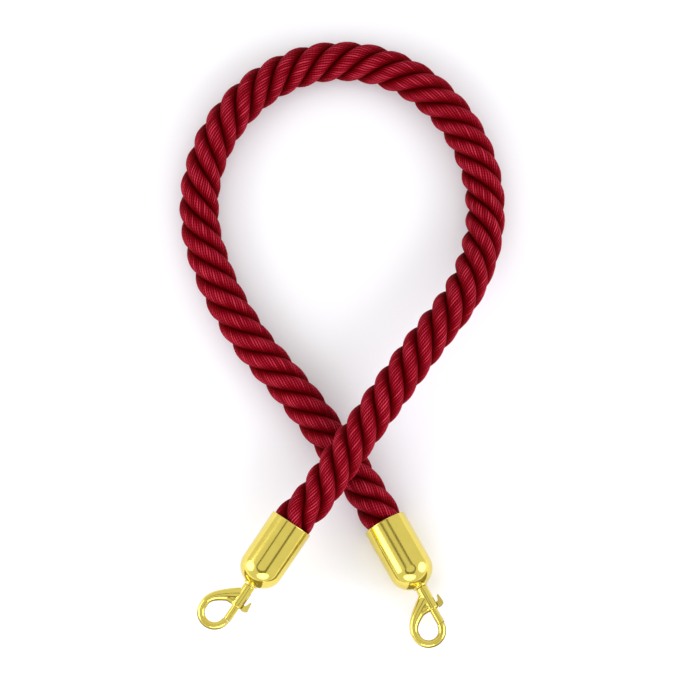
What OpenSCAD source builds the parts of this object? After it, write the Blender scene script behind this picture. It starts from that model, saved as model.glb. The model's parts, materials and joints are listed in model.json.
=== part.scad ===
// Barrier rope: a laid four-strand rope with a cup-shaped cap and a snap hook at each end.
// Rest pose: the rope lies on the floor in a loop with its two ends crossed.
// Units are mm. +Z is up from the floor, +Y points from the hooks to the top of the loop.

/* [Rope] */
// Outside diameter of the rope
rope_d = 39.5; // [30:0.5:50]
// Length along the rope in which a strand goes once round, where the lay is tightest
lay = 94; // [70:1:140]
// Angle of the first strand at the left cap's mouth
lay_start = 20; // [0:1:90]
// Radius at the bottom of the groove between two strands
groove_r = 12.8; // [10:0.1:16]
// Depth of rope held inside each cap
rope_in_cap = 44; // [25:1:50]

/* [Loop] */
// Length of the loop's tightest arc, at its top
loop_len = 181; // [172:1:190]
// Angle that the tightest arc turns through
loop_turn = 76.4; // [72:0.1:80]
// Height of the upper arm's centre line where the arms cross
cross_z = 59.6; // [59.4:0.1:70]
// Length over which the upper arm comes down to the floor
ramp_len = 180; // [140:5:240]
// Downward slope of the left cap
left_drop = 9; // [0:0.5:12]

/* [Bends] */
// Distance from a cap's mouth to the nearest bend, along the rope
end_len = 45; // [35:1:60]
// Radius of the ball surface that splits two rope sections
split_r = 24; // [22:0.5:30]
// Gap between two rope sections
split_gap = 0.7; // [0.6:0.05:1.5]

/* [Cap] */
// Outside diameter of the cap
cap_d = 44.4; // [42:0.1:54]
// Inside diameter of the cap
cap_bore_d = 41.8; // [41.8:0.1:50]
// Length of the cap's straight part
cap_len = 53.5; // [48:0.5:60]
// Height of the cap's dome
dome_len = 20.5; // [16:0.5:26]
// Diameter of the collar at the dome's tip
collar_d = 15; // [12:0.5:18]

/* [Swivel] */
// Diameter of the stud's shank
stud_d = 7; // [5:0.1:8]
// Radial clearance of the shank in the cap
stud_play = 0.075; // [0.02:0.005:0.1]

/* [Hook] */
// Diameter of the hook's barrel
barrel_d = 12.2; // [11:0.1:14]
// Diameter of the latch bolt
bolt_d = 7.6; // [6:0.1:8]
// Radial clearance of the bolt in the barrel
bolt_play = 0.075; // [0.02:0.005:0.1]
// Radius of the ring's centre line
ring_r = 13.7; // [12:0.1:15]
// Thickness of the ring's bar
ring_bar_d = 7.7; // [6:0.1:9]
// Travel of the latch bolt
latch_travel = 13; // [10:0.1:13]

/* [Hidden] */
$fn = 96;

// The rope's centre line seen from above, left cap to right cap. Each arc has its length,
// the angle it turns through, and how loose the lay is there (1 is the tightest).
run = [[20, -13.7, 1.09], [20, 14.1, 1.09], [222, -2.4, 1.023], [108, 30.6, 1.084], [154, 55.5, 1],
       [loop_len, loop_turn, 1.009], [187, 70, 1.037], [136, 25.3, 1.107], [200, -12.5, 1.125]];
start_xy = [-49.948, -190.134];
start_heading = 55.6;
arcs = len(run);
function total(v, n, k) = n <= 0 ? 0 : v[n - 1][k] + total(v, n - 1, k);
arc_s = [for (i = 0; i <= arcs; i = i + 1) total(run, i, 0)];
arc_h = [for (i = 0; i <= arcs; i = i + 1) start_heading + total(run, i, 1)];
function along(p, h, l, t) =
    let (r = l * 180 / (PI * t))
    p + r * [sin(h + t) - sin(h), cos(h) - cos(h + t)];
function joined(i) = i == 0 ? start_xy : along(joined(i - 1), arc_h[i - 1], run[i - 1][0], run[i - 1][1]);
arc_p = [for (i = 0; i <= arcs; i = i + 1) joined(i)];
rope_len = arc_s[arcs];

// Height of the centre line. The right arm lies on the floor and the left arm climbs over it.
rope_r = rope_d / 2;
cap_r = cap_d / 2;
drop_len = 20;
plateau = 220;
rise_from = 32;
rise_len = 28;
function smooth(t) = let (u = min(1, max(0, t))) u * u * (3 - 2 * u);
function high(s) =
    cross_z + (rope_r - cross_z) * smooth((s - plateau) / ramp_len)
    + (cap_r - rope_r) * smooth((s - rope_len + rise_from) / rise_len)
    - (s < 0 ? tan(left_drop) * (drop_len / 2 - s)
             : s < drop_len ? tan(left_drop) * pow(drop_len - s, 2) / (2 * drop_len) : 0);

function arc_at(s, i) = i < arcs - 1 && s > arc_s[i + 1] ? arc_at(s, i + 1) : i;
function flat_at(s) =
    s <= 0 ? start_xy + s * [cos(start_heading), sin(start_heading)]
    : s >= rope_len ? arc_p[arcs] + (s - rope_len) * [cos(arc_h[arcs]), sin(arc_h[arcs])]
    : let (i = arc_at(s, 0), d = s - arc_s[i])
      along(arc_p[i], arc_h[i], d + 1e-9, run[i][1] * (d + 1e-9) / run[i][0]);
function heading_at(s) =
    let (t = min(rope_len, max(0, s)), i = arc_at(t, 0))
    arc_h[i] + run[i][1] * (t - arc_s[i]) / run[i][0];
function centre(s) = let (p = flat_at(s)) [p[0], p[1], high(s)];
function twist_to(i) = i == 0 ? 0 : twist_to(i - 1) + 360 * run[i - 1][0] / (lay * run[i - 1][2]);
arc_w = [for (i = 0; i < arcs; i = i + 1) twist_to(i)];
function twist_at(s) =
    let (i = arc_at(min(rope_len, max(0, s)), 0))
    arc_w[i] + 360 * (s - arc_s[i]) / (lay * run[i][2]);
function slope_at(s) = atan(high(s + 0.5) - high(s - 0.5));

// A point at radius r and angle a round the rope, at distance s along it.
function on_rope(s, r, a) =
    let (h = heading_at(s), e = slope_at(s), b = a + lay_start - twist_at(s))
    centre(s) + r * cos(b) * [-sin(h), cos(h), 0]
    + r * sin(b) * [-sin(e) * cos(h), -sin(e) * sin(h), cos(e)];

// Distance along the rope at which that line leaves a ball of radius q centred on the bend at sj.
function split_s(sj, r, a, q, t, n) =
    n == 0 ? sj + t
    : let (d = norm(on_rope(sj + t, r, a) - centre(sj)))
      split_s(sj, r, a, q, t + (q - d) * d / t, n - 1);

bends = 14;
pitch = (rope_len - 2 * end_len) / (bends - 1);
function bend_s(k) = end_len + (k - 1) * pitch;

// One strand's cross-section, as radius and angle round the rope's own axis.
core_r = 4;
strand_gap = 0.1;
side_a = 45 - asin(strand_gap / groove_r);
core_a = 45 - asin(strand_gap / core_r);
petal = [[core_r, -core_a], [groove_r, -side_a], [0.9 * rope_r, -29], [rope_r, -12],
         [rope_r, 12], [0.9 * rope_r, 29], [groove_r, side_a], [core_r, core_a]];
inner_pts = [[9, 0], [15.5, 0]];
sides = len(petal);
end_faces = [[0, 1, 8], [1, 9, 8], [1, 2, 9], [2, 3, 9], [3, 4, 9],
             [4, 5, 9], [5, 6, 9], [6, 8, 9], [6, 7, 8], [7, 0, 8]];
rings = 11;

// Where one line of a strand starts and ends in section n.
function line_start(n, q) =
    n == 1 ? -rope_in_cap
    : split_s(bend_s(n - 1), q[0], q[1], split_r + split_gap / 2, sqrt(pow(split_r, 2) - pow(q[0], 2)), 3);
function line_end(n, q) =
    n == bends + 1 ? rope_len + rope_in_cap
    : split_s(bend_s(n), q[0], q[1], split_r - split_gap / 2, sqrt(pow(split_r, 2) - pow(q[0], 2)), 3);

module strand(n, turn) {
    outline = [for (q = petal) [q[0], q[1] + turn]];
    inside = [for (q = inner_pts) [q[0], q[1] + turn]];
    from = [for (q = outline) line_start(n, q)];
    to = [for (q = outline) line_end(n, q)];
    lines = [for (i = [0 : rings]) for (j = [0 : sides - 1])
        on_rope(from[j] + (to[j] - from[j]) * i / rings, outline[j][0], outline[j][1])];
    first = [for (q = inside) on_rope(line_start(n, q), q[0], q[1])];
    last = [for (q = inside) on_rope(line_end(n, q), q[0], q[1])];
    n0 = len(lines);
    low = [for (f = end_faces) [for (v = f) v < sides ? v : n0 + v - sides]];
    high = [for (f = end_faces) [for (v = [f[2], f[1], f[0]])
        v < sides ? rings * sides + v : n0 + 2 + v - sides]];
    walls = [for (i = [0 : rings - 1]) for (j = [0 : sides - 1])
        let (a = i * sides + j, b = i * sides + (j + 1) % sides, c = b + sides, d = a + sides)
        each (j == 0 ? [[a, d, b], [b, d, c]] : [[a, c, b], [a, d, c]])];
    polyhedron(points = concat(lines, first, last), faces = concat(low, high, walls));
}

module rope_section(n) {
    color([0.62, 0.03, 0.14])
    for (turn = [0 : 90 : 270]) strand(n, turn);
}

// The two ends. Their own Z runs from the cap's mouth to the hook, and their X is the lever's side.
module at_end(left) {
    s = left ? 0 : rope_len;
    translate(centre(s))
    rotate([0, 0, heading_at(s) + (left ? 180 : 0)])
    rotate([0, 90 + (left ? left_drop : 0), 0])
    rotate([0, 0, 90])
    children();
}

bore_r = cap_bore_d / 2;
wall_start = cap_len - 3.5;
inner_dome = 19;
boss_r = 9;
boss_z = wall_start + inner_dome * sqrt(1 - pow(boss_r / bore_r, 2));
tip_z = cap_len + dome_len + 0.6;
tip_a = acos(collar_d / 2 / cap_r);
inner_a = acos(boss_r / bore_r);
screw_z = 9;
screw_turn = 225;

module cap_solid() {
    rotate_extrude()
    polygon(concat(
        [[bore_r, 0.5], [bore_r + 0.45, 0], [cap_r - 0.5, 0], [cap_r, 0.5], [cap_r, 1.6],
         [cap_r - 0.25, 1.9], [cap_r - 0.25, 2.5], [cap_r, 2.8]],
        [for (t = [0 : 15]) [cap_r * cos(tip_a * t / 15), cap_len + dome_len * sin(tip_a * t / 15)]],
        [[collar_d / 2, tip_z - 0.4], [collar_d / 2 - 0.4, tip_z],
         [stud_d / 2 + stud_play, tip_z], [stud_d / 2 + stud_play, boss_z]],
        [for (t = [12 : -1 : 0]) [bore_r * cos(inner_a * t / 12), wall_start + inner_dome * sin(inner_a * t / 12)]]));
}

module cap() {
    color([0.86, 0.76, 0.38])
    difference() {
        cap_solid();
        rotate([0, 0, screw_turn]) translate([0, 0, screw_z]) rotate([0, 90, 0]) cylinder(h = 40, r = 1.35);
        rotate([0, 0, screw_turn]) translate([cap_r - 0.3, 0, screw_z]) rotate([0, 90, 0]) cylinder(h = 4, r = 3.2);
    }
}

// A domed screw through the cap's hidden side, holding the rope in.
module screw() {
    color([0.8, 0.7, 0.35])
    rotate([0, 0, screw_turn]) translate([0, 0, screw_z]) rotate([0, 90, 0])
    difference() {
        union() {
            translate([0, 0, 13]) cylinder(h = 9, r = 1.3);
            translate([0, 0, 12]) cylinder(h = 1, r1 = 0.2, r2 = 1.3);
            intersection() {
                translate([0, 0, cap_r - 0.25]) cylinder(h = 1.1, r = 3);
                translate([0, 0, cap_r - 4.35]) sphere(r = 5.2);
            }
        }
        translate([-4, -0.35, cap_r + 0.35]) cube([8, 0.7, 2]);
    }
}

// Twine wound round the rope's end inside the cap, so that the strands stay together.
binding_z = 22;
binding_turns = 12;
module binding() {
    color([0.85, 0.8, 0.68])
    rotate_extrude()
    union() {
        translate([rope_r + 0.1, binding_z]) square([0.55, 1.2 * binding_turns]);
        for (i = [0 : binding_turns - 1])
            translate([rope_r + 0.6, binding_z + 0.6 + 1.2 * i]) circle(r = 0.47, $fn = 24);
    }
}

washer_t = 1;
module washer() {
    color([0.7, 0.7, 0.7])
    translate([0, 0, boss_z - 0.1 - washer_t])
    difference() {
        cylinder(h = washer_t, r = 8);
        translate([0, 0, -1]) cylinder(h = washer_t + 2, r = stud_d / 2 + 0.1);
    }
}

// The stud's head is inside the cap, and its tail is pressed into the hook's barrel.
barrel_z = tip_z + 0.4;
stud_end = barrel_z + 5.5;
head_z = boss_z - 0.2 - washer_t;
module stud() {
    color([0.86, 0.76, 0.38])
    union() {
        translate([0, 0, head_z - 3]) cylinder(h = 3, r = 6.5);
        translate([0, 0, head_z - 3.6]) cylinder(h = 0.6, r1 = 5.9, r2 = 6.5);
        translate([0, 0, head_z - 0.01]) cylinder(h = stud_end - head_z, r = stud_d / 2);
    }
}

// The hook: a barrel, and a bar that leaves its side and curls round to a nose under the bolt.
ring_x = -14.5;
ring_z = 116.4;
barrel_end = 100;
bolt_tip = ring_z - 0.3;
stem_z = 96.2;
leg_a = 195;
leg_p = [ring_x + ring_r * cos(leg_a), ring_z + ring_r * sin(leg_a)];
knee = leg_p + 8.5 * [-sin(leg_a), cos(leg_a)];
arm_end = [-2, 84.6];
eye_r = ring_r - ring_bar_d / 2 + 0.1;

module bar(p, q, r1, r2) {
    d = q - p;
    translate([p[0], 0, p[1]])
    rotate([0, 90 - atan2(d[1], d[0]), 0])
    cylinder(h = norm(d), r1 = r1, r2 = r2);
}

module hook_body() {
    color([0.86, 0.76, 0.38])
    difference() {
        union() {
            translate([0, 0, barrel_z]) cylinder(h = 1, r1 = barrel_d / 2 - 0.8, r2 = barrel_d / 2);
            translate([0, 0, barrel_z + 1]) cylinder(h = barrel_end - barrel_z - 1.6, r = barrel_d / 2);
            translate([0, 0, barrel_end - 0.6]) cylinder(h = 0.6, r1 = barrel_d / 2, r2 = barrel_d / 2 - 0.6);
            translate([ring_x, 0, ring_z]) rotate([90, 0, 0])
            rotate_extrude(angle = leg_a) translate([ring_r, 0]) circle(d = ring_bar_d, $fn = 48);
            translate([leg_p[0], 0, leg_p[1]]) sphere(r = ring_bar_d / 2 + 0.12);
            bar(leg_p, knee, ring_bar_d / 2 + 0.05, 4.8);
            translate([knee[0], 0, knee[1]]) sphere(r = 4.85);
            bar(knee, arm_end, 4.8, 5.4);
            translate([0, 3.4, 0]) rotate([90, 0, 0])
            linear_extrude(height = 6.8)
            polygon([[-17.4, 103.2], [-14.6, 101.4], [-12, 100.2], [-9, 99.6], [-5, 99.4], [-4, 90], [-18, 99]]);
        }
        translate([0, 0, barrel_z - 1]) cylinder(h = 20, r = stud_d / 2);
        translate([0, 0, stud_end]) cylinder(h = barrel_end + 5 - stud_end, r = bolt_d / 2 + bolt_play);
        translate([0, -1.7, stem_z - latch_travel]) cube([10, 3.4, latch_travel]);
        translate([0, 0, stem_z]) rotate([0, 90, 0]) cylinder(h = 10, r = 1.7);
        translate([0, 0, stem_z - latch_travel]) rotate([0, 90, 0]) cylinder(h = 10, r = 1.7);
        translate([ring_x, 10, ring_z]) rotate([90, 0, 0]) cylinder(h = 20, r = eye_r);
    }
}

bolt_back = stud_end + latch_travel + 0.4;
spring_end = 106;
module latch_bolt() {
    color([0.84, 0.74, 0.38])
    difference() {
        union() {
            translate([0, 0, bolt_back]) cylinder(h = bolt_tip - bolt_back - 0.5, r = bolt_d / 2);
            translate([0, 0, bolt_tip - 0.5]) cylinder(h = 0.5, r1 = bolt_d / 2, r2 = bolt_d / 2 - 0.5);
        }
        translate([0, 0, bolt_back - 1]) cylinder(h = spring_end - bolt_back + 1, r = 2.5);
        translate([0, 0, stem_z]) rotate([0, 90, 0]) cylinder(h = 10, r = 1.5);
    }
}

lever_x = barrel_d / 2 + 0.25;
lever_t = 4.4;
lever_shape = [[lever_x, 94.6], [7.9, 94.4], [8.6, 93.6], [10.2, 88.9], [10.7, 88.4], [11.3, 88.4],
               [11.7, 88.9], [12.6, 97.9], [12.4, 98.9], [11.6, 99.6], [9.4, 100.4], [lever_x, 100.6]];
module thumb_lever() {
    color([0.86, 0.76, 0.38])
    union() {
        translate([2.6, 0, stem_z]) rotate([0, 90, 0]) cylinder(h = lever_x - 2.5, r = 1.5);
        translate([0, lever_t / 2, 0]) rotate([90, 0, 0]) linear_extrude(height = lever_t) polygon(lever_shape);
    }
}

coils = 10;
wire_r = 0.35;
coil_r = 1.95;
spring_steps = 100;
module latch_spring() {
    color([0.6, 0.6, 0.62])
    {
        low = stud_end + wire_r + 0.05;
        rise = spring_end - wire_r - 0.05 - low;
        pts = [for (i = [0 : spring_steps]) for (j = [0 : 5])
            let (a = 360 * coils * i / spring_steps, b = 60 * j, r = coil_r + wire_r * cos(b))
            [r * cos(a), r * sin(a), low + rise * i / spring_steps + wire_r * sin(b)]];
        walls = [for (i = [0 : spring_steps - 1]) for (j = [0 : 5])
            let (a = 6 * i + j, b = 6 * i + (j + 1) % 6)
            each [[a, b, b + 6], [a, b + 6, a + 6]]];
        k = 6 * spring_steps;
        polyhedron(points = pts, faces = concat([[5, 4, 3, 2, 1, 0]],
            [[k, k + 1, k + 2, k + 3, k + 4, k + 5]], walls));
    }
}

rope_section(1);  // rope_section_01
rope_section(2);  // rope_section_02
rope_section(3);  // rope_section_03
rope_section(4);  // rope_section_04
rope_section(5);  // rope_section_05
rope_section(6);  // rope_section_06
rope_section(7);  // rope_section_07
rope_section(8);  // rope_section_08
rope_section(9);  // rope_section_09
rope_section(10);  // rope_section_10
rope_section(11);  // rope_section_11
rope_section(12);  // rope_section_12
rope_section(13);  // rope_section_13
rope_section(14);  // rope_section_14
rope_section(15);  // rope_section_15
at_end(true) cap();  // left_cap
at_end(true) binding();  // left_rope_binding
at_end(true) screw();  // left_cap_screw
at_end(true) washer();  // left_swivel_washer
at_end(true) stud();  // left_swivel_stud
at_end(true) hook_body();  // left_hook_body
at_end(true) latch_bolt();  // left_latch_bolt
at_end(true) thumb_lever();  // left_thumb_lever
at_end(true) latch_spring();  // left_latch_spring
at_end(false) cap();  // right_cap
at_end(false) binding();  // right_rope_binding
at_end(false) screw();  // right_cap_screw
at_end(false) washer();  // right_swivel_washer
at_end(false) stud();  // right_swivel_stud
at_end(false) hook_body();  // right_hook_body
at_end(false) latch_bolt();  // right_latch_bolt
at_end(false) thumb_lever();  // right_thumb_lever
at_end(false) latch_spring();  // right_latch_spring
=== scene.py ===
"""Looks of the laid barrier rope. Lengths in helper tables are mm; everything built is in metres."""
import json
import math

import bmesh
import bpy
import numpy as np
from mathutils import Matrix, Vector


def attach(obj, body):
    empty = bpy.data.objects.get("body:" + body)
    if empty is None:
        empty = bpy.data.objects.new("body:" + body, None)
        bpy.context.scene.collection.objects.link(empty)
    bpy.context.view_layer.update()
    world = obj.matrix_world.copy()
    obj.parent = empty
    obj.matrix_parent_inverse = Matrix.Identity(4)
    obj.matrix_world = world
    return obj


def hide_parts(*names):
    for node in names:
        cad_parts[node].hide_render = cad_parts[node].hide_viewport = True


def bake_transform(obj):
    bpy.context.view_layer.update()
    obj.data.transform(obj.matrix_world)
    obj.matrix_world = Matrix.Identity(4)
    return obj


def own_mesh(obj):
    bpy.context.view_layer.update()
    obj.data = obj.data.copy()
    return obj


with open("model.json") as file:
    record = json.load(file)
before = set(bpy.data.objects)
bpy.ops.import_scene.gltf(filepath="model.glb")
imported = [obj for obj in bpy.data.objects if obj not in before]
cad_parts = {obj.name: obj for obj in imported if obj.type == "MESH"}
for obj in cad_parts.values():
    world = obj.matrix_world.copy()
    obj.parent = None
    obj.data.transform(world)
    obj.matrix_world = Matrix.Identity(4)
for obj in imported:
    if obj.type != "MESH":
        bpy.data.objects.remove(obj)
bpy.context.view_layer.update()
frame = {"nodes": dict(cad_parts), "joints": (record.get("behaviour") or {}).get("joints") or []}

RNG = np.random.default_rng(7)
MM = 0.001
JOINTS = {j["name"]: j for j in frame["joints"]}
UP = np.array([0.0, 0.0, 1.0])

# sizes shared with the CAD source, in mm: the rope, the cap with its bore and where its tip ends
ROPE_R, CAP_R, CAP_BORE, TIP_W = 19.75, 22.2, 20.9, 74.0
# the strands' number, the length of one turn of them, and their angle at the left cap's mouth
STRANDS, LAY, LAY_START = 4, 94.0, 20.0
BENDS = 14
# the centre line's height at the crossing, and where and over what length it goes down to the floor,
# up to the right cap's mouth, and down towards the left cap's mouth
CROSS_Z, PLATEAU, RAMP_LEN, RISE_FROM, RISE_LEN, DROP_LEN = 59.6, 220, 180, 32, 28, 20
# length, turn and looseness of the lay in each arc of the centre line, left cap to right cap
RUN = [(20, -13.7, 1.09), (20, 14.1, 1.09), (222, -2.4, 1.023), (108, 30.6, 1.084), (154, 55.5, 1.0),
       (181, 76.4, 1.009), (187, 70.0, 1.037), (136, 25.3, 1.107), (200, -12.5, 1.125)]


# ---------------------------------------------------------------- meshes
def mesh_object(name, verts, faces, material, flat=None, attributes=None):
    """faces is a list of integer arrays, each (n, k) with one k; the faces listed in flat aren't smooth."""
    mesh = bpy.data.meshes.new(name)
    groups = [np.asarray(f, np.int32) for f in faces if len(f)]
    total = np.concatenate([np.full(len(f), f.shape[1], np.int32) for f in groups])
    loops = np.concatenate([f.ravel() for f in groups])
    mesh.vertices.add(len(verts))
    mesh.vertices.foreach_set("co", np.asarray(verts, np.float32).ravel())
    mesh.loops.add(len(loops))
    mesh.loops.foreach_set("vertex_index", loops)
    mesh.polygons.add(len(total))
    mesh.polygons.foreach_set("loop_start", np.concatenate([[0], np.cumsum(total)[:-1]]).astype(np.int32))
    mesh.polygons.foreach_set("loop_total", total)
    smooth_faces = np.full(len(total), True)
    if flat is not None:
        smooth_faces[flat] = False
    mesh.polygons.foreach_set("use_smooth", smooth_faces)
    mesh.update(calc_edges=True)
    mesh.validate()
    for key, values in (attributes or {}).items():
        mesh.attributes.new(key, "FLOAT", "POINT").data.foreach_set("value", np.asarray(values, np.float32))
    mesh.materials.append(material)
    obj = bpy.data.objects.new(name, mesh)
    bpy.context.scene.collection.objects.link(obj)
    return obj


def end_matrix(side):
    """The end's own axes: X to the lever's side, Y up, Z from the cap's mouth to the hook."""
    j = JOINTS[side + "_swivel"]
    w = np.array(j["axis"], float)
    w /= np.linalg.norm(w)
    x = np.cross(UP, w)
    x /= np.linalg.norm(x)
    y = np.cross(w, x)
    o = np.array(j["pos_m"], float) - w * TIP_W * MM
    m = Matrix([[x[i], y[i], w[i], o[i]] for i in range(3)] + [[0, 0, 0, 1]])
    return m, o, w


ENDS = {side: end_matrix(side) for side in ("left", "right")}


def placed(verts_mm, side):
    """Points in mm in an end's own axes, as world points in metres."""
    m = np.array(ENDS[side][0])
    return np.asarray(verts_mm) * MM @ m[:3, :3].T + m[:3, 3]


# ---------------------------------------------------------------- rope centre line
# mm past each mouth, mm between points, one point kept in so many, smoothing of the directions
LEAD, STEP, KEEP_EVERY, TANGENT_PASSES = 58, 0.05, 10, 30
# furthest that a joint may lie from the centre line, in metres
JOINT_MISS = 0.0006


def smooth(t):
    """0 up to t = 0, 1 from t = 1, and an S-shaped rise between."""
    u = np.clip(t, 0, 1)
    return u * u * (3 - 2 * u)


class Rope:
    """The rope's centre line, by the distance along it as seen from above."""

    def __init__(self):
        o0, w0 = ENDS["left"][1:]
        o1 = ENDS["right"][1]
        mid = [np.array(JOINTS["rope_bend_%02d" % k]["pos_m"], float) for k in range(1, BENDS + 1)]
        run = np.array(RUN)
        knots = np.concatenate([[0], np.cumsum(run[:, 0])])
        turn = np.radians(np.concatenate([[0], np.cumsum(run[:, 1])]))
        rate = np.radians(360 / (LAY * run[:, 2]))
        twist = np.concatenate([[0], np.cumsum(rate * run[:, 0])])
        total = knots[-1]
        q = np.arange(-LEAD, total + LEAD, STEP)
        heading = math.atan2(-w0[1], -w0[0]) + np.interp(q, knots, turn)
        mean = 0.5 * (heading[1:] + heading[:-1])
        moves = STEP * np.column_stack([np.cos(mean), np.sin(mean)])
        xy = np.concatenate([np.zeros((1, 2)), np.cumsum(moves, axis=0)])
        xy += o0[:2] / MM - np.array([np.interp(0, q, xy[:, 0]), np.interp(0, q, xy[:, 1])])
        drop = -w0[2] / np.linalg.norm(w0[:2])
        z = (CROSS_Z + (ROPE_R - CROSS_Z) * smooth((q - PLATEAU) / RAMP_LEN)
             + (CAP_R - ROPE_R) * smooth((q - total + RISE_FROM) / RISE_LEN))
        z -= drop * np.where(q < 0, DROP_LEN / 2 - q, np.clip(DROP_LEN - q, 0, None) ** 2 / (2 * DROP_LEN))
        line = (np.column_stack([xy, z]) * MM)[::KEEP_EVERY]
        grid = q[::KEEP_EVERY] * MM
        far = LEAD + 2
        far_knots = np.concatenate([[-far], knots, [total + far]])
        far_twist = np.concatenate([[-far * rate[0]], twist, [twist[-1] + far * rate[-1]]])
        tan = np.gradient(line, grid, axis=0)
        for _ in range(TANGENT_PASSES):
            tan[1:-1] = 0.25 * tan[:-2] + 0.5 * tan[1:-1] + 0.25 * tan[2:]
        tan /= np.linalg.norm(tan, axis=1)[:, None]
        nor = np.cross(UP, tan)
        nor /= np.linalg.norm(nor, axis=1)[:, None]
        self.length = total * MM
        self.grid, self.line = grid, line
        self.twist = np.interp(q, far_knots, far_twist)[::KEEP_EVERY]
        self.tan, self.nor, self.bin = tan, nor, np.cross(tan, nor)
        self.at = [0.0] + [self.nearest(p) for p in mid] + [self.length]
        places = self.sample(np.array(self.at))[0]
        off = np.linalg.norm(places - np.array([o0] + mid + [o1]), axis=1)
        assert max(off) < JOINT_MISS, "the centre line misses a joint: %s" % off

    def nearest(self, p):
        """Distance along the rope of the point of the line nearest to p."""
        return self.grid[np.argmin(np.linalg.norm(self.line - p, axis=1))]

    def turned_by(self, s):
        """Angle that the strands have turned through at distance s."""
        return np.interp(s, self.grid, self.twist)

    def sample(self, s):
        """Points of the line at distances s, with their tangents, normals and binormals."""
        out = [np.column_stack([np.interp(s, self.grid, a[:, i]) for i in range(3)])
               for a in (self.line, self.tan, self.nor, self.bin)]
        for a in out[1:]:
            a /= np.linalg.norm(a, axis=1)[:, None]
        return out


ROPE = Rope()

# ---------------------------------------------------------------- rope strands
# yarns round a strand, points round a yarn and its relative height at each, and its height in mm
YARNS = 22
PER_YARN = 5
RIB = np.array([0.0, 0.78, 1.0, 1.0, 0.78])
RIB_H = 0.62
# turn of the yarns round their strand, in radians a mm
YARN_TWIST = 0.147
# metres that a span runs into the next, metres between its rings, and mm its ends are thinner
OVERLAP, RING_STEP, END_INSET = 0.003, 0.0016, 0.12
# a strand's distance from the rope's axis, and its half widths along and across that, in mm
STRAND_RHO, STRAND_AR, STRAND_AT = 11.85, 7.5, 8.95
# radius at the bottom of the grooves, and mm of yarn along the surface from point to point
GROOVE_R, POINT_PITCH = 13.5, 0.47
# each yarn's thickness and tone, and each strand's phases of slow change in thickness
YARN_GAIN = RNG.uniform(0.9, 1.1, (STRANDS, YARNS))
YARN_TINT = RNG.uniform(0, 1, (STRANDS, YARNS))
WOBBLE = RNG.uniform(0, 2 * math.pi, (STRANDS, 6))


def span_mesh(name, s0, s1, material):
    """The four strands between two distances along the rope, each a closed mesh.

    Each span runs a little way into the next one, where it is slightly thinner, so no seam shows.
    """
    s0, s1 = s0 - OVERLAP, s1 + OVERLAP
    rings = max(2, int(round((s1 - s0) / RING_STEP))) + 1
    s = np.linspace(s0, s1, rings)
    thin = np.interp(s, [s0, s0 + OVERLAP, s1 - OVERLAP, s1], [END_INSET, 0, 0, END_INSET])[:, None]
    centre, tan, nor, bi = ROPE.sample(s)
    smm = s / MM
    n = YARNS * PER_YARN
    verts, quads, tris = [], [], []
    # height on the yarn, height above the grooves, tone, distance along, distance round the strand
    # rib and deep also set the rope's colour: lighter on the yarn crests and strand tops as painted
    # highlights, darker in the valleys and grooves as painted shade
    att = {"rib": [], "deep": [], "tint": [], "sl": [], "yr": []}
    base = 0
    for k in range(STRANDS):
        theta = math.radians(LAY_START + 360 / STRANDS * k) - ROPE.turned_by(s)
        w = WOBBLE[k]
        loose = 1 + 0.012 * np.sin(smm / 23 + w[0]) + 0.010 * np.sin(smm / 9.7 + w[1])
        phi = (np.arange(n) * 2 * math.pi / n)[None, :] + YARN_TWIST * smm[:, None] + w[2]
        c, d = np.cos(phi), np.sin(phi)
        yarn = (np.arange(n) // PER_YARN) % YARNS
        gain = YARN_GAIN[k][yarn][None, :] * (1 + 0.10 * np.sin(smm[:, None] / 5.3 + yarn[None, :] * 2.1))
        rib = RIB[np.arange(n) % PER_YARN][None, :] * gain
        nx, ny = c / STRAND_AR, d / STRAND_AT
        length = np.sqrt(nx * nx + ny * ny)
        nx, ny = nx / length, ny / length
        u = STRAND_RHO + (STRAND_AR * loose[:, None] - thin) * c + nx * rib * RIB_H
        v = (STRAND_AT * loose[:, None] - thin) * d + ny * rib * RIB_H
        ct, st = np.cos(theta)[:, None], np.sin(theta)[:, None]
        a, b = u * ct - v * st, u * st + v * ct
        p = centre[:, None, :] + (a[..., None] * nor[:, None, :] + b[..., None] * bi[:, None, :]) * MM
        r = np.sqrt(a * a + b * b)
        verts.append(p.reshape(-1, 3))
        att["rib"].append(np.clip(rib, 0, 1.2).ravel())
        att["deep"].append(np.clip((r - GROOVE_R) / (ROPE_R - GROOVE_R), 0, 1).ravel())
        att["tint"].append(np.broadcast_to(YARN_TINT[k][yarn][None, :], rib.shape).ravel())
        att["sl"].append(np.broadcast_to(smm[:, None], rib.shape).ravel())
        att["yr"].append(np.broadcast_to(np.arange(n)[None, :] * POINT_PITCH, rib.shape).ravel())
        i, j = np.meshgrid(np.arange(rings - 1), np.arange(n), indexing="ij")
        p00, p01 = base + i * n + j, base + i * n + (j + 1) % n
        quads.append(np.stack([p00, p01, p01 + n, p00 + n], -1).reshape(-1, 4))
        ends = []
        for ring, sign in ((0, -1), (rings - 1, 1)):
            ring_p = p[ring]
            verts.append(ring_p.mean(0)[None, :])
            mid = base + rings * n + (0 if ring == 0 else 1)
            for key, val in (("rib", 0.3), ("deep", 0.3), ("tint", 0.5), ("sl", smm[ring]), ("yr", 0.0)):
                att[key].append([val])
            a0, a1 = base + ring * n + np.arange(n), base + ring * n + (np.arange(n) + 1) % n
            f = np.stack([np.full(n, mid), a0, a1] if sign > 0 else [np.full(n, mid), a1, a0], -1)
            ends.append(f)
        tris.append(np.concatenate(ends))
        base += rings * n + 2
    quads, tris = np.concatenate(quads), np.concatenate(tris)
    flat = np.arange(len(quads), len(quads) + len(tris))
    att = {key: np.concatenate([np.asarray(x, float) for x in val]) for key, val in att.items()}
    return mesh_object(name, np.concatenate(verts), [quads, tris], material, flat=flat, attributes=att)


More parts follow.
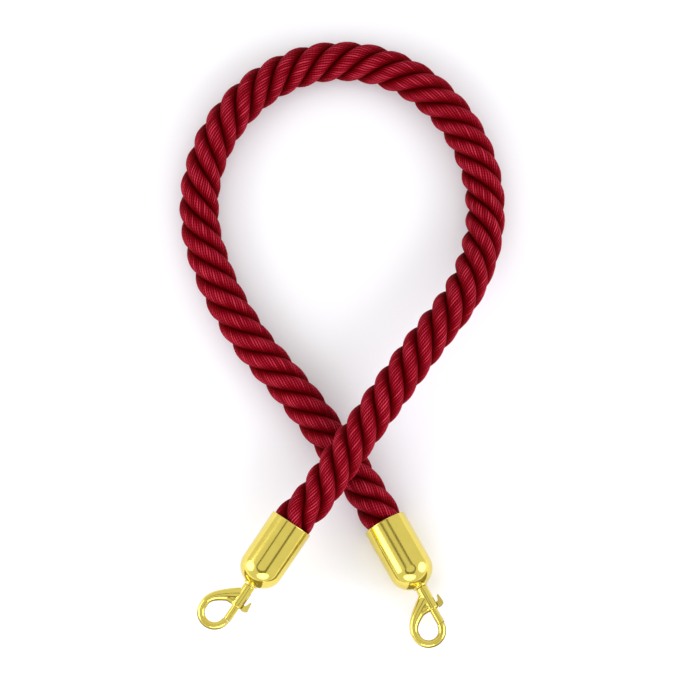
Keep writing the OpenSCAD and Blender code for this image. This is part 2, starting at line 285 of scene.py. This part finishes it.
# ---------------------------------------------------------------- materials
def new_material(name):
    mat = bpy.data.materials.new(name)
    mat.use_nodes = True
    nt = mat.node_tree
    nt.nodes.clear()
    out = nt.nodes.new("ShaderNodeOutputMaterial")
    bsdf = nt.nodes.new("ShaderNodeBsdfPrincipled")
    nt.links.new(bsdf.outputs[0], out.inputs[0])
    return mat, nt, bsdf


def node(nt, kind, **inputs):
    n = nt.nodes.new(kind)
    for key, val in inputs.items():
        n.inputs[key.replace("_", " ")].default_value = val
    return n


def math_node(nt, op, a, b=None):
    n = nt.nodes.new("ShaderNodeMath")
    n.operation = op
    for i, val in enumerate((a, b)):
        if val is None:
            continue
        if isinstance(val, (int, float)):
            n.inputs[i].default_value = val
        else:
            nt.links.new(val, n.inputs[i])
    return n.outputs[0]


def ramp(nt, source, stops):
    n = nt.nodes.new("ShaderNodeValToRGB")
    while len(n.color_ramp.elements) < len(stops):
        n.color_ramp.elements.new(0.5)
    for e, (pos, col) in zip(n.color_ramp.elements, stops):
        e.position, e.color = pos, tuple(col) + (1,)
    nt.links.new(source, n.inputs[0])
    return n.outputs[0]


def attribute(nt, name):
    n = nt.nodes.new("ShaderNodeAttribute")
    n.attribute_name = name
    return n.outputs["Fac"]


def rope_material():
    mat, nt, bsdf = new_material("crimson yarn")
    rib, deep, tint = attribute(nt, "rib"), attribute(nt, "deep"), attribute(nt, "tint")
    sl, yr = attribute(nt, "sl"), attribute(nt, "yr")
    # two plies twisted into each yarn, as slanted stripes along it
    ply_angle = math_node(nt, "ADD", math_node(nt, "MULTIPLY", sl, 2.3), math_node(nt, "MULTIPLY", yr, 3.4))
    plies = math_node(nt, "SINE", ply_angle)
    comb = nt.nodes.new("ShaderNodeCombineXYZ")
    nt.links.new(math_node(nt, "MULTIPLY", sl, 1.1), comb.inputs[0])
    nt.links.new(math_node(nt, "MULTIPLY", yr, 4.0), comb.inputs[1])
    nt.links.new(math_node(nt, "MULTIPLY", tint, 9.0), comb.inputs[2])
    fibre = node(nt, "ShaderNodeTexNoise", Scale=1.6, Detail=5.0, Roughness=0.7)
    nt.links.new(comb.outputs[0], fibre.inputs["Vector"])
    patch = node(nt, "ShaderNodeTexNoise", Scale=0.06, Detail=2.0)
    comb2 = nt.nodes.new("ShaderNodeCombineXYZ")
    nt.links.new(sl, comb2.inputs[0])
    nt.links.new(yr, comb2.inputs[1])
    nt.links.new(comb2.outputs[0], patch.inputs["Vector"])
    # painted light: yarn crests (rib) and strand tops (deep) are made lighter as painted highlights, and
    # the valleys and grooves darker as painted shade; tint, fibre, patch and plies are the yarn's own tone
    level = math_node(nt, "MULTIPLY", rib, 0.44)
    level = math_node(nt, "ADD", level, math_node(nt, "MULTIPLY", deep, 0.42))
    level = math_node(nt, "ADD", level, math_node(nt, "MULTIPLY", tint, 0.04))
    level = math_node(nt, "ADD", level, math_node(nt, "MULTIPLY", fibre.outputs[0], 0.36))
    level = math_node(nt, "ADD", level, math_node(nt, "MULTIPLY", patch.outputs[0], 0.10))
    level = math_node(nt, "ADD", level, math_node(nt, "MULTIPLY", plies, 0.05))
    level = math_node(nt, "SUBTRACT", level, 0.22)
    # the lowest stops are painted shade in the grooves, the top pinkish stops are painted highlights on the
    # crests
    col = ramp(nt, level, [(0.12, (0.062, 0.0002, 0.0004)), (0.40, (0.092, 0.0003, 0.0008)),
                           (0.57, (0.118, 0.0004, 0.0014)), (0.70, (0.146, 0.0008, 0.0034)),
                           (0.79, (0.210, 0.0030, 0.0105)), (0.87, (0.31, 0.010, 0.024)),
                           (0.96, (0.50, 0.034, 0.060))])
    nt.links.new(col, bsdf.inputs["Base Color"])
    rough = math_node(nt, "ADD", math_node(nt, "MULTIPLY", fibre.outputs[0], 0.25), 0.38)
    nt.links.new(rough, bsdf.inputs["Roughness"])
    bsdf.inputs["Specular IOR Level"].default_value = 0.03
    bsdf.inputs["Specular Tint"].default_value = (1.0, 0.3, 0.4, 1)
    bump = node(nt, "ShaderNodeBump", Strength=0.35, Distance=0.0003)
    height = math_node(nt, "MULTIPLY", fibre.outputs[0], 0.8)
    height = math_node(nt, "ADD", height, math_node(nt, "MULTIPLY", plies, 0.25))
    nt.links.new(height, bump.inputs["Height"])
    nt.links.new(bump.outputs[0], bsdf.inputs["Normal"])
    return mat


def metal_material(name, base, dark, rough):
    """Polished plate: nearly a mirror, with faint polishing marks and a slight change of tone."""
    mat, nt, bsdf = new_material(name)
    coord = nt.nodes.new("ShaderNodeTexCoord")
    mapping = nt.nodes.new("ShaderNodeMapping")
    mapping.inputs["Scale"].default_value = (60, 60, 60)
    nt.links.new(coord.outputs["Object"], mapping.inputs[0])
    tone = node(nt, "ShaderNodeTexNoise", Scale=1.0, Detail=4.0, Roughness=0.6)
    nt.links.new(mapping.outputs[0], tone.inputs["Vector"])
    fine = node(nt, "ShaderNodeTexNoise", Scale=22.0, Detail=3.0, Roughness=0.6)
    nt.links.new(mapping.outputs[0], fine.inputs["Vector"])
    col = ramp(nt, tone.outputs[0], [(0.3, dark), (0.65, base)])
    nt.links.new(col, bsdf.inputs["Base Color"])
    bsdf.inputs["Metallic"].default_value = 1.0
    r = math_node(nt, "ADD", math_node(nt, "MULTIPLY", fine.outputs[0], 0.10), rough)
    nt.links.new(r, bsdf.inputs["Roughness"])
    bump = node(nt, "ShaderNodeBump", Strength=0.02, Distance=0.0002)
    nt.links.new(fine.outputs[0], bump.inputs["Height"])
    nt.links.new(bump.outputs[0], bsdf.inputs["Normal"])
    return mat


def twine_material():
    mat, nt, bsdf = new_material("waxed twine")
    coord = nt.nodes.new("ShaderNodeTexCoord")
    n = node(nt, "ShaderNodeTexNoise", Scale=900.0, Detail=4.0)
    nt.links.new(coord.outputs["Object"], n.inputs["Vector"])
    col = ramp(nt, n.outputs[0], [(0.3, (0.42, 0.36, 0.25)), (0.7, (0.68, 0.61, 0.46))])
    nt.links.new(col, bsdf.inputs["Base Color"])
    bsdf.inputs["Roughness"].default_value = 0.8
    bump = node(nt, "ShaderNodeBump", Strength=0.4, Distance=0.0003)
    nt.links.new(n.outputs[0], bump.inputs["Height"])
    nt.links.new(bump.outputs[0], bsdf.inputs["Normal"])
    return mat


ROPE_MAT = rope_material()
GOLD = metal_material("polished gold plate", (0.765, 0.63, 0.128), (0.72, 0.58, 0.113), 0.085)
STEEL = metal_material("plain steel", (0.62, 0.62, 0.63), (0.5, 0.5, 0.52), 0.25)
TWINE = twine_material()

# ---------------------------------------------------------------- rope pieces
# metres from a cap's mouth to the first seam, from a seam to the points sampled near a span's ends,
# and from a cap's mouth to the rope's end inside the cap
SEAM_IN, STIFF_IN, TAIL_LEN = 0.004, 0.008, 0.043
MID = [0.5 * (ROPE.at[k] + ROPE.at[k + 1]) for k in range(1, BENDS)]
SEAMS = [SEAM_IN] + MID + [ROPE.length - SEAM_IN]
# there is one more CAD section than there are spans, so this span stands for two sections
DOUBLE_SPAN = 8


for k in range(1, BENDS + 1):
    s0, s1 = SEAMS[k - 1], SEAMS[k]
    span = span_mesh("rope_span_%02d" % k, s0, s1, ROPE_MAT)
    ends = ROPE.sample(np.array([s0 + STIFF_IN, s1 - STIFF_IN]))[0]
    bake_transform(span)
    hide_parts("rope_section_%02d" % (k if k < DOUBLE_SPAN else k + 1))
    if k == DOUBLE_SPAN:
        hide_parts("rope_section_%02d" % k)
for side, s0, s1 in (("left", -TAIL_LEN, SEAMS[0]), ("right", SEAMS[-1], ROPE.length + TAIL_LEN)):
    tail = span_mesh("rope_tail_" + side, s0, s1, ROPE_MAT)
    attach(tail, side + "_end")


# ---------------------------------------------------------------- turned and bent metal
def lathe(name, profile, side, material, sides=128):
    """profile: closed loop of (radius, distance along the end's Z) in mm, with the outside on its left."""
    prof = np.array(profile, float)
    a = np.arange(sides) * 2 * math.pi / sides
    v = np.stack([prof[:, None, 0] * np.cos(a), prof[:, None, 0] * np.sin(a),
                  np.broadcast_to(prof[:, None, 1], (len(prof), sides))], -1).reshape(-1, 3)
    m = len(prof)
    i, j = np.meshgrid(np.arange(m), np.arange(sides), indexing="ij")
    i2, j2 = (i + 1) % m, (j + 1) % sides
    q = np.stack([i * sides + j, i * sides + j2, i2 * sides + j2, i2 * sides + j], -1).reshape(-1, 4)
    return mesh_object(name, placed(v, side), [q], material)


def arc(cx, cy, r, a0, a1, n):
    t = np.radians(np.linspace(a0, a1, n))
    return [(cx + r * math.cos(x), cy + r * math.sin(x)) for x in t]


def cap_profile():
    """Outside from mouth to tip, then inside back to the mouth."""
    wall_w, dome_h, neck_r = 53.5, 20.5, 7.6
    bore_w, bore_dome_h, pocket_r = 50, 19, 9.0
    out = arc(21.5, 0.75, 0.72, -150, 0, 9) + [(CAP_R, 1.5)]
    out += [(CAP_R, w) for w in np.linspace(3, wall_w, 12)]
    top = math.acos(neck_r / CAP_R)
    out += [(CAP_R * math.cos(t), wall_w + dome_h * math.sin(t)) for t in np.linspace(0, top, 40)[1:]]
    out += [(7.45, 73.15), (7.42, 73.6)] + arc(6.9, 74.1, 0.5, 0, 90, 5)
    out += [(3.6, 74.6), (3.58, 74.4), (3.58, 67.3), (3.7, 67.13), (pocket_r, 67.1)]
    inside = math.acos(pocket_r / CAP_BORE)
    out += [(CAP_BORE * math.cos(t), bore_w + bore_dome_h * math.sin(t))
            for t in np.linspace(inside, 0, 16)[1:]]
    out += [(CAP_BORE, 25), (CAP_BORE, 1.2)]
    return out


def tube_faces(rings, sides):
    """Faces of a tube of rings of points, closed by a fan round one more point at each end."""
    faces = []
    for i in range(rings - 1):
        for j in range(sides):
            j2 = (j + 1) % sides
            faces.append((i * sides + j, i * sides + j2, (i + 1) * sides + j2, (i + 1) * sides + j))
    for j in range(sides):
        j2 = (j + 1) % sides
        faces.append((rings * sides, j2, j))
        faces.append((rings * sides + 1, (rings - 1) * sides + j, (rings - 1) * sides + j2))
    return faces


def sweep(path, ra, rb, sides=40):
    """Closed tube in the hook's plane: ra is the half width in the plane, rb across it."""
    path = np.array(path, float)
    tan = np.gradient(path, axis=0)
    tan /= np.linalg.norm(tan, axis=1)[:, None]
    across = np.array([0.0, 1.0, 0.0])
    side = np.cross(across, tan)
    side /= np.linalg.norm(side, axis=1)[:, None]
    a = np.arange(sides) * 2 * math.pi / sides
    ring = (path[:, None] + (np.asarray(ra)[:, None] * np.cos(a))[..., None] * side[:, None]
            + (np.asarray(rb)[:, None] * np.sin(a))[..., None] * across)
    v = np.concatenate([ring.reshape(-1, 3), path[:1], path[-1:]])
    return v, tube_faces(len(path), sides)


def smooth_path(points, widths, n):
    """Catmull-Rom curve through 2D points and their widths, with n points to a stretch."""
    p = np.array([list(a) + [b] for a, b in zip(points, widths)], float)
    p = np.vstack([2 * p[0] - p[1], p, 2 * p[-1] - p[-2]])
    out = []
    for i in range(1, len(p) - 2):
        for t in np.linspace(0, 1, n, endpoint=False):
            out.append(0.5 * (2 * p[i] + (p[i + 1] - p[i - 1]) * t
                              + (2 * p[i - 1] - 5 * p[i] + 4 * p[i + 1] - p[i + 2]) * t * t
                              + (3 * p[i] - p[i - 1] - 3 * p[i + 1] + p[i + 2]) * t**3))
    out.append(p[-2])
    return np.array(out)


# the hook's ring in mm: its centre, its radius to the middle of the bar, and the bar's radius
RING_X, RING_W, RING_R, RING_BAR = -14.5, 116.4, 13.7, 3.85


def add_to(bm, v, faces):
    vs = [bm.verts.new(tuple(p)) for p in v]
    for f in faces:
        bm.faces.new([vs[i] for i in f])


def turned(profile, sides=72):
    """Solid of revolution about Z from (radius, z) points, with a flat disc at each end."""
    v = []
    for r, z in profile:
        for j in range(sides):
            a = 2 * math.pi * j / sides
            v.append((r * math.cos(a), r * math.sin(a), z))
    v += [(0, 0, profile[0][1]), (0, 0, profile[-1][1])]
    return v, tube_faces(len(profile), sides)


def temp_object(name, build):
    bm = bmesh.new()
    build(bm)
    bmesh.ops.recalc_face_normals(bm, faces=bm.faces)
    me = bpy.data.meshes.new(name)
    bm.to_mesh(me)
    bm.free()
    obj = bpy.data.objects.new(name, me)
    bpy.context.scene.collection.objects.link(obj)
    return obj


def apply_modifiers(obj):
    bpy.context.view_layer.update()
    dg = bpy.context.evaluated_depsgraph_get()
    me = bpy.data.meshes.new_from_object(obj.evaluated_get(dg))
    obj.modifiers.clear()
    obj.data = me


def cast(obj, voxel, passes):
    """Run the shapes in a work object into one skin with rounded edges and inner corners."""
    m = obj.modifiers.new("r", "REMESH")
    m.mode, m.voxel_size, m.use_smooth_shade = "VOXEL", voxel, True
    m = obj.modifiers.new("s", "SMOOTH")
    m.factor, m.iterations = 0.5, passes
    apply_modifiers(obj)


def take_mesh(obj):
    """A work object's points and faces; the object itself is removed."""
    v = np.empty(len(obj.data.vertices) * 3, np.float32)
    obj.data.vertices.foreach_get("co", v)
    polys = [tuple(p.vertices) for p in obj.data.polygons]
    bpy.data.objects.remove(obj)
    return v.reshape(-1, 3), polys


def hook_mesh():
    """The cast hook in mm, in the end's own axes: ring, shoulder and barrel run into each other."""
    ring = [(RING_X + RING_R * math.cos(a), RING_W + RING_R * math.sin(a))
            for a in np.radians(np.linspace(0, 172, 60))]
    bends = [ring[-1], (-27.9, 111.5), (-26.2, 107.0), (-22.6, 102.3), (-17.2, 97.6), (-11, 93.2),
             (-4.5, 89.0), (0, 86.5)]
    shoulder = smooth_path(bends, [3.9, 4.05, 4.3, 4.9, 5.7, 6.6, 7.4, 7.6], 8)
    path = [(x, 0, w) for x, w in ring[:-1]] + [(p[0], 0, p[1]) for p in shoulder]
    wide = [RING_BAR] * (len(ring) - 1) + list(shoulder[:, 2])
    deeper = np.interp(np.arange(len(shoulder)), [0, 20, 40, len(shoulder)], [3.9, 4.4, 5.2, 5.4])
    deep = [RING_BAR] * (len(ring) - 1) + list(deeper)
    barrel = [(5.2, 75.0), (5.9, 75.6), (6.05, 76.5), (6.1, 99.2), (5.9, 99.8), (5.4, 100.0)]

    def build(bm):
        add_to(bm, *sweep(path, wide, deep))
        add_to(bm, *turned(barrel))
        web = smooth_path([(-17.5, 99.6), (-13.5, 97.3), (-9, 95.8), (-3, 95.2)], [2.8, 3.8, 4.6, 4.8], 6)
        add_to(bm, *sweep([(p[0], 0, p[1]) for p in web], web[:, 2], np.linspace(4.0, 5.0, len(web))))

    obj = temp_object("hook_work", build)
    cast(obj, 0.30, 14)

    def bore(bm):
        add_to(bm, *turned([(3.9, 80.6), (3.9, 104.0)], 48))

    def slot(bm):
        box = [(x, y, z) for x in (2.0, 9.0) for y in (-1.7, 1.7) for z in (81.6, 97.9)]
        sides = [(0, 1, 3, 2), (4, 6, 7, 5), (0, 4, 5, 1), (2, 3, 7, 6), (0, 2, 6, 4), (1, 5, 7, 3)]
        add_to(bm, box, sides)

    for cut in (bore, slot):
        cutter = temp_object("cut", cut)
        m = obj.modifiers.new("b", "BOOLEAN")
        m.operation, m.solver, m.object = "DIFFERENCE", "EXACT", cutter
        apply_modifiers(obj)
        bpy.data.objects.remove(cutter)
    return take_mesh(obj)


# outline of foot and finger as (distance from the barrel's axis, distance along it) in mm
LEVER = [(6.35, 94.6), (7.6, 94.5), (8.3, 93.9), (8.9, 92.4), (9.6, 90.2), (10.2, 88.8), (10.8, 88.3),
         (11.3, 88.5), (11.6, 89.2), (12.0, 92.0), (12.5, 96.8), (12.5, 98.2), (11.9, 99.2), (9.6, 100.3),
         (6.35, 100.6)]


def lever_mesh():
    """Foot and finger as one flat casting with rounded edges, on a round stem in the slot."""
    half_thick, stem_r, stem_w = 2.2, 1.5, 96.2

    def build(bm):
        stem = [(x, 0, stem_w) for x in (2.7, 4.5, 6.7)]
        add_to(bm, *sweep(stem, [stem_r] * len(stem), [stem_r] * len(stem)))
        n = len(LEVER)
        v = [(x, y, w) for y in (-half_thick, half_thick) for x, w in LEVER]
        faces = [tuple(range(n)), tuple(range(2 * n - 1, n - 1, -1))]
        faces += [(i, (i + 1) % n, n + (i + 1) % n, n + i) for i in range(n)]
        add_to(bm, v, faces)

    obj = temp_object("lever_work", build)
    cast(obj, 0.18, 10)
    return take_mesh(obj)


def from_polys(name, verts, polys, side, material):
    """Place a casting at one end, smooth but for edges sharper than 35 degrees."""
    mesh = bpy.data.meshes.new(name)
    mesh.from_pydata([tuple(p) for p in placed(verts, side)], [], polys)
    mesh.validate()
    mesh.polygons.foreach_set("use_smooth", [True] * len(mesh.polygons))
    mesh.set_sharp_from_angle(angle=math.radians(35))
    mesh.materials.append(material)
    obj = bpy.data.objects.new(name, mesh)
    bpy.context.scene.collection.objects.link(obj)
    return obj


def spring_mesh(name, side):
    low, high, coils, r, wire, sides = 80.95, 105.6, 10, 1.95, 0.35, 10
    steps_per_coil = 28
    n = coils * steps_per_coil
    t = np.linspace(0, 1, n)
    a = 2 * math.pi * coils * t
    b = np.arange(sides) * 2 * math.pi / sides
    rad = r + wire * np.cos(b)[None, :]
    v = np.stack([rad * np.cos(a)[:, None], rad * np.sin(a)[:, None],
                  (low + (high - low) * t)[:, None] + wire * np.sin(b)[None, :]], -1).reshape(-1, 3)
    i, j = np.meshgrid(np.arange(n - 1), np.arange(sides), indexing="ij")
    j2 = (j + 1) % sides
    q = np.stack([i * sides + j2, i * sides + j, (i + 1) * sides + j, (i + 1) * sides + j2], -1)
    q = q.reshape(-1, 4)
    ends = [np.arange(sides)[None, :], (n - 1) * sides + np.arange(sides)[::-1][None, :]]
    return mesh_object(name, placed(v, side), [q, ends[0], ends[1]], STEEL)


HOOK = hook_mesh()
LEVER_MESH = lever_mesh()
for side in ("left", "right"):
    cap = lathe(side + "_cap_shell", cap_profile()[::-1], side, GOLD)
    cap.data.set_sharp_from_angle(angle=math.radians(50))
    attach(cap, side + "_end")
    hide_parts(side + "_cap")
    hook = from_polys(side + "_hook_casting", *HOOK, side, GOLD)
    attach(hook, side + "_hook")
    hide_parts(side + "_hook_body")
    lever = from_polys(side + "_lever_casting", *LEVER_MESH, side, GOLD)
    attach(lever, side + "_latch")
    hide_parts(side + "_thumb_lever")
    spring = spring_mesh(side + "_spring_coil", side)
    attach(spring, side + "_hook")
    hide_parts(side + "_latch_spring")
    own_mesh(spring)

LOOKS = {"cap_screw": GOLD, "rope_binding": TWINE, "swivel_washer": STEEL, "swivel_stud": GOLD,
         "latch_bolt": GOLD}
for side in ("left", "right"):
    for part, mat in LOOKS.items():
        obj = frame["nodes"][side + "_" + part]
        obj.data.materials.clear()
        obj.data.materials.append(mat)


# ---------------------------------------------------------------- stage
def plain_material(name, colour):
    mat, nt, bsdf = new_material(name)
    bsdf.inputs["Base Color"].default_value = tuple(colour) + (1,)
    bsdf.inputs["Roughness"].default_value = 0.9
    return mat


def emission_material(name, colour):
    mat = bpy.data.materials.new(name)
    mat.use_nodes = True
    nt = mat.node_tree
    nt.nodes.clear()
    out = nt.nodes.new("ShaderNodeOutputMaterial")
    em = nt.nodes.new("ShaderNodeEmission")
    em.inputs[0].default_value = tuple(colour) + (1,)
    em.inputs[1].default_value = 1.0
    nt.links.new(em.outputs[0], out.inputs[0])
    return mat


# the camera looks at TARGET from DIST metres away, TILT off the vertical, and sees VIEW_W metres
TARGET = Vector((0.00785, -0.00603, 0.01975))
TILT = math.radians(12)
DIST, VIEW_W = 14.0, 0.700
BACK = Vector((0, -math.sin(TILT), math.cos(TILT)))
# heights of the floor and of the cards on it, just under the part
FLOOR_Z, CARD_Z = -0.0004, -0.0002


def flat_cards(name, rects, z, material):
    """Level rectangles (x0, x1, y0, y1) at height z, in one object."""
    v = [(x, y, z) for x0, x1, y0, y1 in rects for x, y in ((x0, y0), (x1, y0), (x1, y1), (x0, y1))]
    return mesh_object(name, np.array(v), [np.arange(len(v)).reshape(-1, 4)], material)


floor = flat_cards("floor", [(-6, 6, -6, 6)], FLOOR_Z, plain_material("pale floor", (0.90, 0.90, 0.90)))

# a grey ring round the camera, seen only in reflections, as the dark outline the caps show;
# it is broader on the side of the hooks
RING_STEPS = 96
# degrees off the line from TARGET to the camera: the ring's middle, its half width and what that gains
RING_MID, RING_HALF, RING_GAIN = 26.4, 3.6, 5.0
n = RING_STEPS
right = Vector((1, 0, 0))
upv = BACK.cross(right)
ring_v = []
for side in (-1, 1):
    for x in np.arange(n) * 2 * math.pi / n:
        half_width = RING_HALF + RING_GAIN * max(0.0, -math.sin(x)) ** 2
        rr = DIST * math.tan(math.radians(RING_MID + side * half_width))
        p = TARGET + BACK * DIST + right * (rr * math.cos(x)) + upv * (rr * math.sin(x))
        ring_v.append(tuple(p))
ring_f = np.array([[i, (i + 1) % n, n + (i + 1) % n, n + i] for i in range(n)])
ring_grey = emission_material("ring grey", (0.26, 0.24, 0.17))
ring = mesh_object("dark_ring", np.array(ring_v), [ring_f], ring_grey)
# two cards on the floor in front of the hooks, also seen only in reflections
low = flat_cards("dark_low", [(-0.30, -0.085, -1.2, -0.262), (0.062, 0.30, -1.2, -0.262)], CARD_Z,
                 emission_material("low grey", (0.36, 0.32, 0.16)))
for card in (ring, low):
    card.visible_camera = card.visible_diffuse = card.visible_shadow = card.visible_transmission = False


def area(name, loc, size, power, target=(0, 0, 0)):
    data = bpy.data.lights.new(name, "AREA")
    data.shape = "ELLIPSE"
    data.size, data.size_y = size
    data.energy = power
    data.color = (0.98, 0.98, 1.10)
    obj = bpy.data.objects.new(name, data)
    obj.location = loc
    obj.rotation_mode = "QUATERNION"
    obj.rotation_quaternion = (Vector(target) - Vector(loc)).to_track_quat("-Z", "Y")
    bpy.context.scene.collection.objects.link(obj)
    return obj


area("left", (-1.6, -0.15, 0.75), (1.5, 1.4), 15)
area("right", (1.6, -0.15, 0.75), (1.5, 1.4), 15)
area("front", (0, -1.8, 0.9), (1.9, 1.1), 14, target=(0, -0.2, 0))

world = bpy.data.worlds.new("studio")
world.use_nodes = True
bg = world.node_tree.nodes["Background"]
bg.inputs[0].default_value = (1, 1, 1, 1)
bg.inputs[1].default_value = 0.92
bpy.context.scene.world = world

cam_data = bpy.data.cameras.new("camera")
cam_data.sensor_width = 36
cam_data.lens = cam_data.sensor_width * DIST / VIEW_W
cam_data.clip_end = 100
cam = bpy.data.objects.new("camera", cam_data)
cam.location = TARGET + BACK * DIST
cam.rotation_mode = "QUATERNION"
cam.rotation_quaternion = (-BACK).to_track_quat("-Z", "Y")
bpy.context.scene.collection.objects.link(cam)
bpy.context.scene.camera = cam
bpy.context.scene.view_settings.view_transform = "Standard"

bpy.context.view_layer.update()
